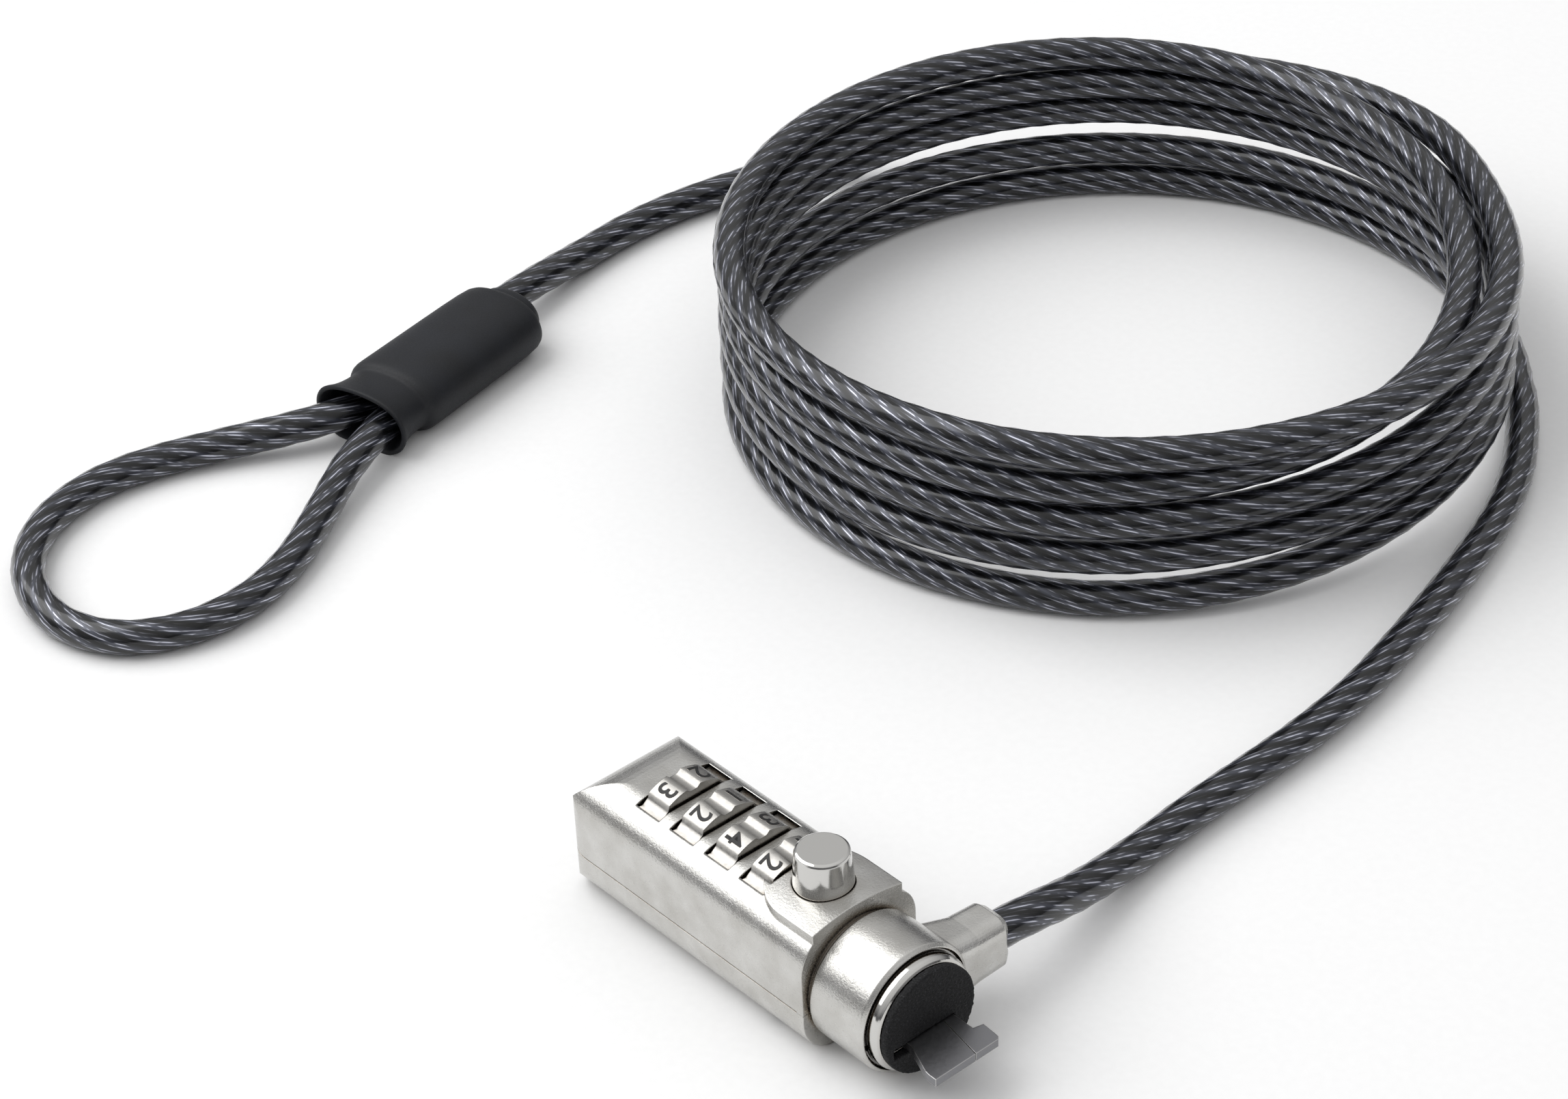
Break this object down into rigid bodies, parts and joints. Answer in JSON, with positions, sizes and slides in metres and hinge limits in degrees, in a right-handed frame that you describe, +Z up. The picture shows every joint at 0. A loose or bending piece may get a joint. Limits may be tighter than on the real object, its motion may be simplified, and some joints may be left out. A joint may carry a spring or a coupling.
{
  "type": "laptop cable lock",
  "caption": "Combination laptop lock with numbered dials, push button, swivel cable collar, two-plate blade and a coiled steel cable ending in a sleeved loop.",
  "frame": {"origin": "centre of the flat under the lock body, between the second and third dials, on the surface that it rests on", "axes": "+X along the lock towards the blade, +Y along the swivel collar's cable arm, +Z up through the button"},
  "size_m": [0.1606, 0.1874, 0.025],
  "materials": {
    "satin_nickel": "satin pearl nickel plate on cast zinc",
    "polished_chrome": "polished chrome plate",
    "dial_chrome": "bright plated, digits filled black",
    "bright_ring": "bright plated spring steel",
    "zinc": "plain cast zinc",
    "machined_steel": "turned steel",
    "spring_steel": "hardened spring steel",
    "blade_steel": "ground hardened steel",
    "brass": "turned brass",
    "black_foam": "open-cell black foam rubber",
    "coated_cable": "twisted steel rope in smoke-clear vinyl",
    "aluminium_ferrule": "crimped aluminium",
    "black_sleeve": "matte shrunk plastic sleeve"
  },
  "bodies": {
    "cable_side": {"swivel_collar": "satin_nickel", "cable_end_plug": "machined_steel", "anchor_pin": "machined_steel", "cable_lead": "coated_cable", "cable_coil": "coated_cable", "cable_tail": "coated_cable", "cable_loop": "coated_cable", "crimp_ferrule": "aluminium_ferrule", "ferrule_sleeve": "black_sleeve"},
    "head": {"upper_shell": "satin_nickel", "lower_shell": "satin_nickel", "dial_frame": "zinc", "detent_leaf": "spring_steel", "return_spring": "spring_steel", "spring_guide": "machined_steel", "hook_plate": "blade_steel", "neck_barrel": "zinc", "wave_washer": "spring_steel", "retaining_ring": "bright_ring", "nose_ring": "polished_chrome", "foam_pad": "black_foam", "shell_screws": "machined_steel"},
    "dial_1": {"dial_ring_1": "dial_chrome", "code_sleeve_1": "brass"},
    "dial_2": {"dial_ring_2": "dial_chrome", "code_sleeve_2": "brass"},
    "dial_3": {"dial_ring_3": "dial_chrome", "code_sleeve_3": "brass"},
    "dial_4": {"dial_ring_4": "dial_chrome", "code_sleeve_4": "brass"},
    "push_button": {"button": "polished_chrome"},
    "slide": {"spindle": "machined_steel", "cam_pin": "machined_steel", "cam_slide": "machined_steel", "slide_plate": "blade_steel"},
    "reset": {"reset_screw": "machined_steel"}
  },
  "joints": [
    {"name": "collar_swivel", "type": "hinge", "parent": "cable_side", "child": "head", "pos_m": [0.0235, 0, 0.0076], "axis": [1, 0, 0], "continuous": true},
    {"name": "dial_1_turn", "type": "hinge", "parent": "head", "child": "dial_1", "pos_m": [-0.0084, 0, 0.0099], "axis": [1, 0, 0], "continuous": true},
    {"name": "dial_2_turn", "type": "hinge", "parent": "head", "child": "dial_2", "pos_m": [-0.0028, 0, 0.0099], "axis": [1, 0, 0], "continuous": true},
    {"name": "dial_3_turn", "type": "hinge", "parent": "head", "child": "dial_3", "pos_m": [0.0028, 0, 0.0099], "axis": [1, 0, 0], "continuous": true},
    {"name": "dial_4_turn", "type": "hinge", "parent": "head", "child": "dial_4", "pos_m": [0.0084, 0, 0.0099], "axis": [1, 0, 0], "continuous": true},
    {"name": "button_press", "type": "slide", "parent": "head", "child": "push_button", "axis": [0, 0, -1], "range_m": [0, 0.0036], "stiffness_N_per_m": 600, "springref_m": -0.004},
    {"name": "slide_draw", "type": "slide", "parent": "head", "child": "slide", "axis": [-1, 0, 0], "range_m": [0, 0.004], "deforming": ["return_spring"]},
    {"name": "reset_turn", "type": "hinge", "parent": "head", "child": "reset", "pos_m": [-0.0138, 0, 0.002], "axis": [0, 0, 1], "range_deg": [0, 90]}
  ],
  "couplings": [
    {"joint": "slide_draw", "follows": "button_press", "ratio": 1.1111}
  ]
}
